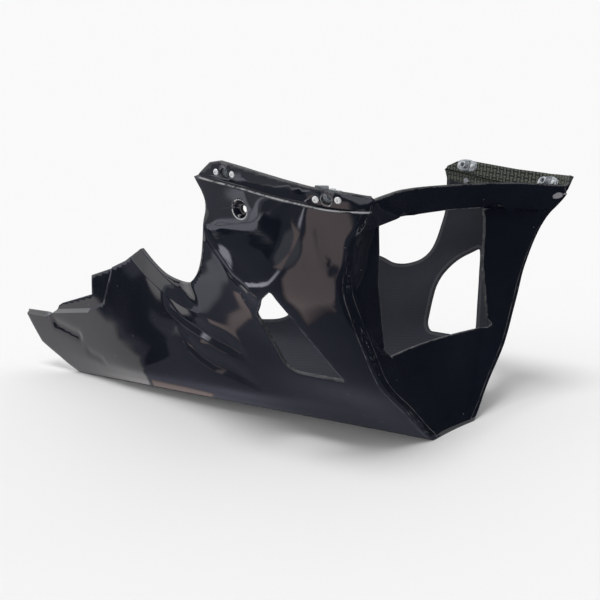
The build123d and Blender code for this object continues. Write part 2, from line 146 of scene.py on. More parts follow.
# Tints of the cards, and the glow that the floor cards fade to.
COOL, WARM, PLAIN = (0.9, 0.92, 1.16), (1.17, 0.95, 0.92), (0.97, 0.98, 1.1)
BETWEEN_CARDS = 0.17
# Upright cards: name, ends, height, glow and tint.
WALL_CARDS = (
    ("front_wall", (-900, 1400), (1600, 1400), 3400, 0.02, COOL),
    ("end_wall", (1600, 1400), (1600, -1500), 3400, 0.02, COOL),
    ("corner_wall", (1600, -1500), (-300, -1500), 3400, 0.02, COOL),
    ("tail_wall", (-1900, -900), (-1900, 600), 420, 0.6, PLAIN),
)
# Cards on the floor: name, height, glow, tint, width of the soft edge, and corners.
FLOOR_CARDS = (
    ("front_card", 1.0, 0.02, COOL, 0, ((6, -30), (1600, -30), (1600, 1400), (-900, 1400), (-900, 260),
                                        (6, 200))),
    ("corner_card", 1.0, 0.03, COOL, 0, ((160, -1500), (1600, -1500), (1600, -30), (40, -30))),
    ("far_side", 1.0, 0.45, PLAIN, 0, ((-1900, -2400), (160, -2400), (160, -640), (-1900, -760))),
    ("near_side", 1.0, 0.18, COOL, 0, ((-1900, -760), (160, -640), (40, -20), (-1900, -90))),
    ("tail_light", 1.6, 0.6, (1.02, 0.99, 1.0), 5, (
        (-400, -60), (-396, -94), (-406, -132), (-453, -169), (-509, -189), (-575, -206), (-674, -249),
        (-828, -304), (-1000, -370), (-1250, -360), (-1000, -60))),
    ("tail_shade", 1.6, 0.04, COOL, 5, (
        (-412, -138), (-453, -173), (-575, -210), (-828, -306), (-1600, -580), (-1600, -660), (-1000, -430),
        (-580, -250), (-440, -200), (-384, -160))),
    ("foot_light", 1.6, 0.36, WARM, 3, ((-395, -74), (-392, -97), (-330, -88), (-280, -78), (-290, -66))),
    ("warm_wall", 1.6, 1.1, WARM, 24, (
        (-245, -400), (-228, -475), (-175, -490), (-130, -445), (-60, -410), (74, -382), (58, -330),
        (16, -266), (-78, -226), (-140, -180), (-178, -220), (-208, -319))),
    ("middle", 1.7, 0.62, PLAIN, 20, (
        (-206, -456), (-60, -446), (-160, -540), (-380, -760), (-450, -700), (-430, -600), (-400, -545),
        (-330, -480))),
    ("wisp", 1.9, 1.2, WARM, 7, (
        (-376, -490), (-300, -474), (-262, -462), (-254, -524), (-290, -552), (-318, -510))),
    ("dark_spot", 1.9, 0.02, COOL, 14, (
        (-424, -528), (-480, -545), (-610, -650), (-610, -740), (-490, -725))),
    ("ridge", 1.8, 3.2, PLAIN, 14, (
        (-384, -282), (-340, -270), (-292, -380), (-266, -462), (-300, -474), (-346, -362), (-378, -330))),
    ("ridge_end", 1.8, 1.8, PLAIN, 26, ((-800, -700), (-640, -720), (-620, -920), (-760, -920))),
    ("streaks", 1.8, 0.62, PLAIN, 9, (
        (-500, -238), (-430, -200), (-350, -206), (-346, -268), (-430, -290))),
    ("low_streak", 1.8, 0.7, WARM, 4, ((-352, -192), (-268, -184), (-264, -164), (-346, -168))),
    ("flange_light", 1.7, 1.8, PLAIN, 40, ((-880, -930), (-560, -590), (-400, -830), (-700, -1130))),
    ("flange_tip", 1.8, 1.5, PLAIN, 20, ((30, -820), (300, -820), (300, -320), (100, -320))),
)


def at(x, y, z):
    """A drawing point, in the frame."""
    return Vector((x + HOME, y, z)) / 1000


def curve(xs, ys):
    """A monotone cubic through points, straight beyond its ends."""
    order = sorted(range(len(xs)), key=lambda i: xs[i])
    xs = [xs[i] for i in order]
    ys = [ys[i] for i in order]
    steps = [b - a for a, b in zip(xs, xs[1:])]
    rises = [(b - a) / h for a, b, h in zip(ys, ys[1:], steps)]
    slopes = [rises[0]]
    for before, after, left, right in zip(rises, rises[1:], steps, steps[1:]):
        if before * after <= 0:
            slopes.append(0.0)
        else:
            near, far = 2 * right + left, right + 2 * left
            slopes.append((near + far) / (near / before + far / after))
    slopes.append(rises[-1])

    def value(x):
        if x <= xs[0]:
            return ys[0] + slopes[0] * (x - xs[0])
        if x >= xs[-1]:
            return ys[-1] + slopes[-1] * (x - xs[-1])
        i = bisect_right(xs, x) - 1
        h, t = steps[i], (x - xs[i]) / steps[i]
        return (
            ys[i] * (1 + 2 * t) * (1 - t) ** 2
            + slopes[i] * h * t * (1 - t) ** 2
            + ys[i + 1] * t * t * (3 - 2 * t)
            + slopes[i + 1] * h * t * t * (t - 1)
        )

    return value


def through(points, index=1):
    """A curve through a column of a table, over its first column."""
    return curve([p[0] for p in points], [p[index] for p in points])


WATERLINES = [curve(list(HALF_WIDTHS), list(column)) for column in zip(*HALF_WIDTHS.values())]
edge_forward = through(FRONT_EDGE)
edge_width = through(FRONT_EDGE, 2)
post_bow = through(POST_BOW)
foot_height = through(FLANGE_FOOT)
bar_top = through(BAR_TOP)
bar_foot = through(BAR_FOOT)


def half_width(x, z):
    """Half-width of the smooth body."""
    return curve(HEIGHTS, [line(x) for line in WATERLINES])(z)


def eased(t):
    """A soft step from 0 to 1."""
    t = min(1.0, max(0.0, t))
    return t * t * (3 - 2 * t)


def lump(distance, reach):
    """A soft mark that is 1 at its middle and fades over its reach."""
    return exp(-((distance / reach) ** 2))


def from_run(point, run):
    """Distance of a point from a run of straight pieces."""
    best = 1e9
    for a, b in zip(run, run[1:]):
        ax, az = point[0] - a[0], point[1] - a[1]
        bx, bz = b[0] - a[0], b[1] - a[1]
        t = min(1.0, max(0.0, (ax * bx + az * bz) / (bx * bx + bz * bz)))
        best = min(best, hypot(ax - t * bx, az - t * bz))
    return best


def height_of(run, x):
    """Height of a run of straight pieces over x, held beyond its ends."""
    run = sorted(run)
    return float(np.interp(x, [p[0] for p in run], [p[1] for p in run]))


def step_height(x):
    """Height of the tail step's foot line."""
    first = STEP_REGION[0]
    if x > first[0]:
        return first[1] + 4 * (x - first[0])
    return height_of(STEP_REGION, x)


def ripples(x, z):
    """The creases that the laminate was left with between the cut and the tail."""
    inset = 0.0
    for run, lean, up, back in CREASES:
        start, end = run[0][0], run[-1][0]
        rise = z - height_of(run, x)
        if rise > 0 and start - 8 < x < end + 15:
            depth = lean * min(rise, up)
            if back and rise > up:
                depth *= 1 - eased((rise - up) / back)
            inset += depth * eased((x - start + 8) / 24) * eased((end + 15 - x) / 34)
    return inset


def side_inset(x, z, hand):
    """How far the moulded features lie inside the smooth body."""
    rise = z - foot_height(x)
    inset = 0.0
    # The joggle, with a shallow groove just above its foot.
    if rise > -2:
        inset += JOGGLE * eased(rise / 1.7) + 0.7 * lump(rise - 2.2, 1.1)
    # The raised bead along the front edge, wider at the cheek.
    back = edge_forward(z) - x
    if back < 20:
        width = 5 + 8 * eased((z - 105) / 45)
        inset -= BEAD * (1 - eased((back - width + 1) / 2)) * eased((190 - z) / 25) * eased(z / 12)
    if hand < 0 and x < -360:
        inset += TAIL_STEP * eased((z - step_height(x)) / 5.0) * eased((-370 - x) / 12)
    if hand < 0 and x < -160:
        inset += ripples(x, z)
    if hand < 0 and -260 < x < -80:
        inset -= CREST_HEIGHT * lump(from_run((x, z), CREST), 8.0)
    from_cup = hypot(x - CUP_PLACE[0], z - CUP_PLACE[1])
    if from_cup < 10:
        inset += DISH * (1 - eased((from_cup - 4.4) / 3.7))
    if hand < 0 and x < -450:
        for run, depth, reach in TAIL_DENTS:
            inset += depth * lump(from_run((x, z), run), reach)
    return inset


def side_width(x, z, hand):
    return half_width(x, z) - side_inset(x, z, hand)


def bowed(y, z, radius, back):
    """How far forward a face of that bow stands."""
    w = edge_width(z)
    reach = 1.25 * w
    sag = reach * reach / (2 * radius)
    turn = (reach * reach + sag * sag) / (2 * sag)
    return edge_forward(z) - w * w / (2 * radius) - back + turn - sqrt(turn * turn - y * y)


def face_forward(y, z):
    """The front face before its panels are set back."""
    return bowed(y, z, FACE_RADIUS, 0)


def front_edge(z, hand):
    """Where a side meets the front face."""
    y = edge_width(z)
    for _ in range(12):
        x = face_forward(y, z)
        y = side_width(x, z, hand)
    return face_forward(y, z), y


def spread(points, step):
    """Points along straight pieces, no further apart than step, with every corner kept."""
    out = [points[0]]
    for a, b in zip(points, points[1:]):
        count = max(1, round(hypot(b[0] - a[0], b[1] - a[1]) / step))
        out += [
            (a[0] + (b[0] - a[0]) * k / count, a[1] + (b[1] - a[1]) * k / count)
            for k in range(1, count + 1)
        ]
    return out


def flowing(points, step):
    """A smooth run through points."""
    out = [points[0]]
    ends = [points[0]] + list(points) + [points[-1]]
    for p0, p1, p2, p3 in zip(ends, ends[1:], ends[2:], ends[3:]):
        count = max(1, round(hypot(p2[0] - p1[0], p2[1] - p1[1]) / step))
        for k in range(1, count + 1):
            t = k / count
            out.append(tuple(
                0.5 * (2 * b + (c - a) * t + (2 * a - 5 * b + 4 * c - d) * t * t
                       + (3 * b - a - 3 * c + d) * t**3)
                for a, b, c, d in zip(p0, p1, p2, p3)
            ))
    return out


def rounded(corners, step):
    """A closed outline of straight pieces with a radius at each corner."""
    points = [Vector(c[:2]) for c in corners]
    loop = []
    for i, (_, _, radius) in enumerate(corners):
        back = (points[i - 1] - points[i]).normalized()
        ahead = (points[(i + 1) % len(points)] - points[i]).normalized()
        cosine = back.dot(ahead)
        reach = radius * sqrt((1 + cosine) / (1 - cosine))
        start, end = points[i] + back * reach, points[i] + ahead * reach
        centre = points[i] + (back + ahead).normalized() * hypot(reach, radius)
        turn = (start - centre).angle_signed(end - centre)
        count = max(3, round(abs(turn) * radius / step))
        for k in range(count + 1):
            loop.append(tuple(centre + Matrix.Rotation(-turn * k / count, 2) @ (start - centre)))
    closed = spread(loop + loop[:1], step)
    return closed[:-1]


def ring(x, z, radius, count=28):
    turns = [2 * pi * k / count for k in range(count)]
    return [(x + radius * cos(turn), z + radius * sin(turn)) for turn in turns]


def inside(points, loop):
    """Which points lie within a loop."""
    points, loop = np.asarray(points), np.asarray(loop)
    hit = np.zeros(len(points), bool)
    for a, b in zip(loop, np.roll(loop, -1, axis=0)):
        crosses = (a[1] > points[:, 1]) != (b[1] > points[:, 1])
        if a[1] != b[1]:
            where = (b[0] - a[0]) * (points[:, 1] - a[1]) / (b[1] - a[1]) + a[0]
            hit ^= crosses & (points[:, 0] < where)
    return hit


def finder(points):
    """A search tree over plane or frame points."""
    tree = kdtree.KDTree(len(points))
    for i, point in enumerate(points):
        tree.insert(Vector(point).to_3d(), i)
    tree.balance()
    return tree


def fill(outline, holes, lines, pitch=PITCH):
    """Even triangles over a plane outline; its edges, holes and lines keep their points."""
    points, edges = [], []

    def add(run, closed):
        first = len(points)
        points.extend(run)
        edges.extend((first + k, first + k + 1) for k in range(len(run) - 1))
        if closed:
            edges.append((first + len(run) - 1, first))

    def within(spots):
        keep = inside(spots, outline)
        for hole in holes:
            keep &= ~inside(spots, hole)
        return keep

    add(outline, True)
    for hole in holes:
        add(hole, True)
    rims = finder(points)
    for line in lines:
        run = []
        for point, kept in zip(line, within(line)):
            if kept and rims.find((*point, 0))[2] > 0.5:
                run.append(point)
            elif run:
                add(run, False)
                run = []
        if run:
            add(run, False)
    taken = finder(points)
    low, high = np.min(outline, axis=0), np.max(outline, axis=0)
    rise = pitch * sqrt(3) / 2
    lattice = [
        (low[0] + pitch * (column + 0.5 * (row % 2)), low[1] + rise * row)
        for row in range(int((high[1] - low[1]) / rise) + 1)
        for column in range(int((high[0] - low[0]) / pitch) + 1)
    ]
    for point, kept in zip(lattice, within(lattice)):
        if kept and taken.find((*point, 0))[2] > 0.6 * pitch:
            points.append(point)
    done = geometry.delaunay_2d_cdt([Vector(p) for p in points], edges, [], 0, 1e-4)
    places = [Vector(p) for p in done[0]]
    faces = [tuple(f) for f in done[2]]
    middles = [np.mean([tuple(places[i]) for i in f], axis=0) for f in faces]
    faces = [f for f, kept in zip(faces, within(middles)) if kept]

    def sides(face):
        return [frozenset(pair) for pair in zip(face, face[1:] + face[:1])]

    def length(side):
        start, end = (places[i] for i in side)
        return (start - end).length

    shared = Counter(side for face in faces for side in sides(face))

    def sliver(face):
        longest = max(sides(face), key=length)
        area = geometry.area_tri(*(places[i] for i in face))
        return shared[longest] == 1 and area < SLIVER * length(longest)

    return [tuple(p) for p in places], [f for f in faces if not sliver(f)]


def nut_frame(x, z, hand):
    """A flange seat: its place, and directions along, across and out of the flange."""
    forward = (half_width(x + 1, z) - half_width(x - 1, z)) / 2
    upward = (half_width(x, z + 1) - half_width(x, z - 1)) / 2
    out = Vector((-forward, hand, -upward)).normalized()
    along = Vector((1, 0, NUT_SLOPE))
    along = (along - out * along.dot(out)).normalized()
    width = half_width(x, z) - JOGGLE * sqrt(1 + forward**2 + upward**2)
    return Vector((x, hand * width, z)), along, out.cross(along), out


def choose(piece):
    """Makes a piece the only selected one."""
    bpy.ops.object.select_all(action="DESELECT")
    bpy.context.view_layer.objects.active = piece
    piece.select_set(True)


@contextmanager
def editing():
    """Edit mode, for as long as the steps inside it take."""
    bpy.ops.object.mode_set(mode="EDIT")
    yield
    bpy.ops.object.mode_set(mode="OBJECT")


def finish_with(piece, kind, **settings):
    """Adds a modifier and applies it."""
    choose(piece)
    modifier = piece.modifiers.new(kind.lower(), kind)
    for name, value in settings.items():
        setattr(modifier, name, value)
    bpy.ops.object.modifier_apply(modifier=modifier.name)


def skin(patches):
    """One welded mesh from filled outlines, each with its lift off the plane and its outward side."""
    places, faces = [], []
    for (points, triangles), lift, outward in patches:
        first = len(places)
        spots = [lift(*p) for p in points]
        places += [at(*p) for p in spots]
        for a, b, c in triangles:
            normal = (Vector(spots[b]) - Vector(spots[a])).cross(Vector(spots[c]) - Vector(spots[a]))
            right_way = normal.dot(Vector(outward)) > 0
            faces.append(tuple(first + i for i in ((a, b, c) if right_way else (a, c, b))))
    mesh = bpy.data.meshes.new("pan_skin")
    mesh.from_pydata(places, [], faces)
    shell = bpy.data.objects.new("pan_skin", mesh)
    bpy.context.scene.collection.objects.link(shell)
    choose(shell)
    with editing():
        bpy.ops.mesh.select_all(action="SELECT")
        bpy.ops.mesh.remove_doubles(threshold=0.00004)
    return shell


def edge_heights(tip):
    """Heights of the points along a front edge, close together near its top."""
    heights = []
    z = tip
    while z > 0:
        heights.append(z)
        z -= FINE_STEP if 208 < z < tip else RUN_STEP
    return heights + [0]


def side_patch(hand, tip, top, end, window):
    """One side of the pan, from the front edge to the tail."""
    edge = [(front_edge(z, hand)[0], z) for z in edge_heights(tip)]
    floor = spread([end[-1], (edge[-1][0], 0)], PITCH)
    outline = top + spread(end, 3.4)[1:] + floor[1:-1] + edge[::-1]
    holes = [rounded(window, 2.2), ring(*CUP_PLACE, CUP_HOLE, 20)]
    turns = [2 * pi * k / 24 for k in range(24)]
    for x, z in NUT_PLACES.values():
        spot, along, across, _ = nut_frame(x, z, hand)
        rim = [spot + BOLT_HOLE * (along * cos(turn) + across * sin(turn)) for turn in turns]
        holes.append([(p.x, p.z) for p in rim])
    lines = [
        [(x, foot_height(x) + rise) for x in np.arange(-126, 44, RUN_STEP)]
        for rise in (-1.4, 0.0, 0.85, 1.7, 3.2)
    ]
    lines += [[(x - back, z) for x, z in edge if 3 < z < 206] for back in EDGE_LINES]
    lines += [ring(*CUP_PLACE, radius) for radius in DISH_RINGS]
    if hand < 0:
        foot = spread(STEP_REGION[:-1], 3.6)
        lines += [[(x, z + rise) for x, z in foot] for rise in (0.0, 2.5, 5.0)]
        for run, _, up, _ in CREASES:
            run = spread(run, RUN_STEP)
            lines += [[(x, z + rise) for x, z in run] for rise in (-1.2, 0.0, 1.2, up - 1.2, up, up + 1.2)]

    def lift(x, z):
        return x, hand * side_width(x, z, hand), z

    return fill(outline, holes, lines), lift, (0, hand, 0)


def face_recess(y, z):
    """How far the lower panel and the posts lie behind the face."""
    y = abs(y)
    crease = height_of([(high, out) for out, high in LOWER_PANEL], z)
    recess = FACE_STEP * eased((crease - y + 1) / 2.4) * eased((z - 7) / 2.4) * (z < 150)
    over = z - height_of(POST_FOOT, y)
    if over > 0 and y > 55:
        back = face_forward(y, z) - bowed(y, z, post_bow(z), POST_STEP)
        part = eased(over / 5) * eased((bar_foot(y) - z + 0.6) / 2.2) * eased((edge_width(z) - y) / 5)
        recess = max(recess * (1 - eased(over / 3)), back * part)
    return recess


def face_patch():
    """The front face with its mouth and bar."""
    sides = {}
    for hand, tip in ((-1, RIGHT_TIP), (1, LEFT_TIP)):
        edge = [(hand * front_edge(z, hand)[1], z) for z in edge_heights(tip)]
        sides[hand] = [p for p in edge if p[1] < 226.5]
    over = [(y, bar_top(abs(y))) for y in np.arange(-152, 152.1, 4)]
    sole = spread([sides[-1][-1], sides[1][-1]], 4)
    outline = over + sides[1] + sole[::-1][1:-1] + sides[-1][::-1]
    lines = []
    for hand in (-1, 1):
        edge = [p for p in sides[hand] if 3 < p[1] < 206]
        lines += [[(y - hand * back, z) for y, z in edge] for back in EDGE_LINES]
        for shift in (-1.4, 0.0, 1.0):
            lines.append([(hand * (y + shift), z) for y, z in spread(LOWER_PANEL, RUN_STEP)])
        for rise in (0.0, 1.6, 3.2, 5.0):
            lines.append([(hand * y, z + rise) for y, z in spread(POST_FOOT[1:-1], RUN_STEP)])
        for drop in (-0.6, 0.5, 1.6):
            lines.append([(hand * y, bar_foot(y) - drop) for y in np.arange(86, 150, RUN_STEP)])

    def lift(y, z):
        return face_forward(y, z) - face_recess(y, z), y, z

    return fill(outline, [rounded(MOUTH, 2.2)], lines), lift, (1, 0, 0)


def floor_patch():
    """The flat bottom."""
    toe = front_edge(0, -1)
    run = spread([RIGHT_END[-1], (toe[0], 0)], PITCH)
    right = [(x, -side_width(x, 0, -1)) for x, _ in run]
    left = [(x, side_width(x, 0, 1)) for x, _ in run]
    sole = spread([(-toe[1], 0), (toe[1], 0)], 4)
    front = [(face_forward(y, 0), y) for y, _ in sole]
    back = spread([left[0], right[0]], 4)
    outline = right + front[1:-1] + left[::-1] + back[1:-1]
    return fill(outline, [], [], FLOOR_PITCH), lambda x, y: (x, y, 0.0), (0, 0, -1)


def front_edges():
    """Points along both front edges, each with the way into its corner and how sharp the corner is."""
    points, ways, folds = [], [], []
    for hand in (-1, 1):
        rough = []
        for z in np.arange(0, 232.1, 1.0):
            x, y = front_edge(z, hand)
            side = Vector((half_width(x - 1, z) - half_width(x + 1, z), 2 * hand,
                           half_width(x, z - 1) - half_width(x, z + 1))).normalized()
            face = Vector((2, face_forward(hand * y - 1, z) - face_forward(hand * y + 1, z),
                           face_forward(y, z - 1) - face_forward(y, z + 1))).normalized()
            way = -(side + face).normalized()
            rough.append((x, hand * y, z, *way, sin(side.angle(face) / 2)))
        rough = np.array(rough)
        heights = np.arange(0, 232, 0.2)
        fine = np.array([np.interp(heights, rough[:, 2], column) for column in rough.T]).T
        points += [at(*row[:3]) for row in fine]
        ways += [Vector(row[3:6]).normalized() for row in fine]
        folds += [row[6] for row in fine]
    return points, ways, folds


def roll_reach(z):
    """How far from a front edge its roll reaches: wide at the cheek, fine at the toe and the flange."""
    wide = 5.5 + 5 * eased((z - 110) / 40)
    return wide * (0.25 + 0.75 * eased(z / 24)) * (0.2 + 0.8 * eased((214 - z) / 22))


def round_over(shell, edges):
    """Rolls the sharp front edges over."""
    points, ways, folds = edges
    tree = finder(points)
    for point in shell.data.vertices:
        _, i, away = tree.find(point.co)
        reach = roll_reach(point.co.z * 1000)
        left = reach - away * 1000
        if left > 0:
            point.co += ways[i] * folds[i] * left * left / (2 * reach) / 1000


def unsettle(shell):
    """The slow waves that a hand-laid skin shows in its gloss."""
    for point in shell.data.vertices:
        place = point.co * 1000
        swell = sum(high * noise.noise(place / long + Vector(shift)) for high, long, shift in WAVES)
        calm = 0.1 + 0.9 * eased((abs(point.normal.y) - 0.6) / 0.25)
        point.co += point.normal * swell * calm * eased(place.z / 16) / 1000


def open_edges(shell):
    """Points along the skin's cut edges."""
    used = Counter(key for face in shell.data.polygons for key in face.edge_keys)
    points = []
    for (a, b), count in used.items():
        if count == 1:
            start, end = shell.data.vertices[a].co, shell.data.vertices[b].co
            points += [start.copy(), (start + end) / 2]
    return points


def note(shell, name, value):
    """Keeps a number at every point of the skin, for its finishes."""
    mesh = shell.data
    layer = mesh.attributes.new(name, "FLOAT", "POINT")
    layer.data.foreach_set("value", [float(value(point.co)) for point in mesh.vertices])


def flange_rise(p):
    """How far a point of a side stands above the foot of its flange."""
    x, y, z = p.x * 1000 - HOME, abs(p.y) * 1000, p.z * 1000
    if z < 190 or y < half_width(x, z) - 9:
        return -FAR
    return max(-FAR, min(FAR, z - foot_height(x)))


def hole_distance():
    """How far a point lies from the rim of the nearest bolt hole or dish."""
    rims = []
    for hand in (-1, 1):
        rims += [(at(*nut_frame(x, z, hand)[0]), 5.0) for x, z in NUT_PLACES.values()]
        x, z = CUP_PLACE
        rims.append((at(x, hand * half_width(x, z), z), 8.3))
    return lambda p: min(FAR, min(abs((p - centre).length * 1000 - radius) for centre, radius in rims))


def behind(run, tip, hand):
    """The part of a top edge that lies behind the front edge's tip."""
    limit = front_edge(tip, hand)[0] - 1
    return [p for p in run if p[0] < limit]


def make_shell(looks):
    """The whole moulding: the skin, its waves and rolled edges, its wall, and what its finishes read."""
    right_top = spread(RIGHT_FLANGE, 3.0) + flowing(RIGHT_CUT, 3.0)[1:] + spread(RIGHT_TAIL, 3.0)[1:]
    left_top = spread(LEFT_FLANGE, 3.0) + flowing(LEFT_CUT, 3.0)[1:]
    shell = skin([
        side_patch(-1, RIGHT_TIP, behind(right_top, RIGHT_TIP, -1), RIGHT_END, RIGHT_WINDOW),
        side_patch(1, LEFT_TIP, behind(left_top, LEFT_TIP, 1), LEFT_END, LEFT_WINDOW),
        face_patch(),
        floor_patch(),
    ])
    for look in looks:
        shell.data.materials.append(look)
    edges = front_edges()
    round_over(shell, edges)
    unsettle(shell)
    cuts = finder(open_edges(shell))
    finish_with(shell, "SOLIDIFY", thickness=WALL / 1000, offset=-1, use_even_offset=False, use_rim=True,
                material_offset=1, material_offset_rim=2)
    finish_with(shell, "BEVEL", width=0.0006, segments=2, limit_method="ANGLE", angle_limit=radians(62),
                use_clamp_overlap=True, loop_slide=False)
    for point in shell.data.vertices:
        point.co.z = max(0.0, point.co.z)
    rolled = finder(edges[0])
    note(shell, "roll", lambda p: min(FAR, rolled.find(p)[2] * 1000))
    note(shell, "cut", lambda p: min(FAR, cuts.find(p)[2] * 1000))
    note(shell, "rise", flange_rise)
    note(shell, "ring", hole_distance())
    return shell


def operation(kind):
    """A method that adds a Math node of a kind."""

    def method(number, other=0.0):
        return number.finish.node("ShaderNodeMath", {"operation": kind}, {0: number, 1: other})

    return method


class Number:
    """A shader value: arithmetic on it adds Math nodes."""

    def __init__(self, finish, socket):
        self.finish, self.socket = finish, socket

    __add__ = operation("ADD")
    __sub__ = operation("SUBTRACT")
    __mul__ = operation("MULTIPLY")
    __truediv__ = operation("DIVIDE")
    __mod__ = operation("FLOORED_MODULO")
    __gt__ = operation("GREATER_THAN")
    __abs__ = operation("ABSOLUTE")
    floor = operation("FLOOR")
    larger = operation("MAXIMUM")


class Finish:
    """A material whose nodes are added by name."""

    def __init__(self, name, **surface):
        self.material = bpy.data.materials.new(name)
        self.material.use_nodes = True
        self.nodes = self.material.node_tree.nodes
        self.links = self.material.node_tree.links
        self.surface = self.nodes["Principled BSDF"]
        self.set(**surface)
        self.place = self.node("ShaderNodeTexCoord", {}, {}, "Object")

    def feed(self, socket, value):
        if isinstance(value, Number):
            self.links.new(value.socket, socket)
        else:
            socket.default_value = value

    def node(self, kind, settings, inputs, output=0):
        made = self.nodes.new(kind)
        for name, value in settings.items():
            setattr(made, name, value)
        for name, value in inputs.items():
            self.feed(made.inputs[name], value)
        return Number(self, made.outputs[output])

    def drawing(self):
        """The drawing's x, y and z, in millimetres."""
        parts = self.nodes.new("ShaderNodeSeparateXYZ")
        self.links.new(self.place.socket, parts.inputs[0])
        x, y, z = (Number(self, socket) for socket in parts.outputs)
        return x * 1000 - HOME, y * 1000, z * 1000

    def noted(self, name):
        return self.node("ShaderNodeAttribute", {"attribute_name": name}, {}, "Fac")

    def noise(self, scale, detail=2.0, roughness=0.5, place=None):
        return self.node("ShaderNodeTexNoise", {}, {
            "Vector": place or self.place, "Scale": scale, "Detail": detail, "Roughness": roughness})

    def stretched(self, *scale):
        """Object coordinates, scaled unevenly."""
        return self.node("ShaderNodeMapping", {}, {"Vector": self.place, "Scale": scale})

    def cells(self, scale):
        return self.node("ShaderNodeTexVoronoi", {}, {"Vector": self.place, "Scale": scale}, "Distance")

    def between(self, value, low, high, bottom=0.0, top=1.0):
        ends = dict(enumerate((value, low, high, bottom, top)))
        return self.node("ShaderNodeMapRange", {"clamp": True}, ends)

    def bar(self, value, middle, half, soft=0.05):
        """1 within half of the middle, with soft edges."""
        return self.between(abs(value - middle), half - soft, half + soft, 1.0, 0.0)

    def mix(self, amount, first, second):
        return self.node("ShaderNodeMix", {"data_type": "RGBA"}, {0: amount, 6: first, 7: second}, 2)

    def bump(self, height, strength, distance):
        sizes = {"Height": height, "Strength": strength, "Distance": distance}
        return self.node("ShaderNodeBump", {}, sizes)

    def set(self, **surface):
        for socket, value in surface.items():
            self.feed(self.surface.inputs[socket.replace("_", " ")], value)
        return self.material


def grey(level, tint=0.0):
    return (level, level, level * (1 + tint), 1.0)


def gelcoat():
    """Black gloss, hazed by handling, chipped along its edges, with painted highlights along its cut edges,
    its bead and the foot of its flange.
    """
    look = Finish("black_gelcoat", IOR=1.5)
    haze = look.noise(9, 5, 0.6)
    deep, pale = (0.0042, 0.0056, 0.0102, 1), (0.0085, 0.0102, 0.0165, 1)
    colour = look.mix(look.between(haze, 0.3, 0.75), deep, pale)
    scuffs = look.noise(1, 6, 0.7, look.stretched(26, 26, 150))
    scuffed = look.between(scuffs, 0.6, 0.78) * look.between(haze, 0.4, 0.6)
    colour = look.mix(scuffed * 0.35, colour, grey(0.05, 0.1))
    specks = look.between(look.cells(95), 0.03, 0.05, 1.0, 0.0) * (look.noise(38) > 0.52)
    fine = look.noise(330, 5, 0.65)
    coarse = look.noise(70, 3)
    roll = look.noted("roll")
    nicks = look.noise(620, 4, 0.6)
    rolled = look.between(roll, 0.9, 2.4, 1.0, 0.0) * look.between(nicks + coarse * 0.6, 0.98, 1.03)
    x, y, z = look.drawing()
    edgewise = look.node("ShaderNodeCombineXYZ", {}, {0: roll * 1.3, 1: z * 0.13, 2: y * 0.004})
    scored = look.noise(1, 3, 0.65, edgewise)
    # A scored pale line along the bead: the scratches of its mould line, and a painted highlight along the
    # bead's edge.
    bead_scratches_and_highlight = look.bar(roll, 6.2, 0.35, 0.3) * look.between(scored, 0.38, 0.6) * look.between(z, 190, 150)
    bead_scratches_and_highlight = bead_scratches_and_highlight.larger(look.between(roll, 3.0, 6.0, 1.0, 0.0) * look.between(scored, 0.6, 0.7) * 0.8)
    patch = (x - 33.5) * (x - 33.5) / 40 + (y - 146) * (y - 146) / 56 + (z - 214.5) * (z - 214.5) / 14
    patch = look.between(patch + fine * 0.8 - 0.4, 0.55, 0.95, 1.0, 0.0)
    # A painted highlight along the foot of the flange, where the ledge would catch the light, broken up like
    # chipped gelcoat.
    lip = look.bar(look.noted("rise"), 0.2, 0.55, 0.35) * look.between(coarse + fine * 0.5, 0.62, 0.78)
    # A pale line along the cut edges: edge wear, and a painted highlight along the rims.
    worn_edge_and_rim_highlight = look.between(look.noted("cut"), 0.35, 1.1, 1.0, 0.0) * look.between(fine + coarse, 0.85, 1.05)
    rings = look.between(look.noted("ring"), 0.3, 0.8, 1.0, 0.0) * look.between(fine + coarse, 0.9, 1.06)
    colour = look.mix(worn_edge_and_rim_highlight * 0.35, colour, grey(0.28, 0.04))
    # Pale grey for the painted highlight and chips at the flange foot.
    colour = look.mix(lip * 0.8, colour, grey(0.42, 0.03))
    colour = look.mix(bead_scratches_and_highlight * 0.75, colour, grey(0.16, 0.06))
    colour = look.mix(patch * 0.8, colour, grey(0.3, 0.08))
    chipped = rolled.larger(rings).larger(specks * 0.7)
    colour = look.mix(chipped * 0.85, colour, grey(0.6, 0.03))
    gloss = look.between(look.noise(22, 4), 0.3, 0.7, 0.03, 0.085)
    rough = gloss + scuffed * 0.12 + chipped.larger(lip).larger(patch) * 0.4 + bead_scratches_and_highlight * 0.12
    peel = look.noise(150, 2) * 0.5 + look.noise(420, 2) * 0.2 + chipped * -0.6
    return look.set(Base_Color=colour, Roughness=rough, Normal=look.bump(peel, 0.008, 0.0008))


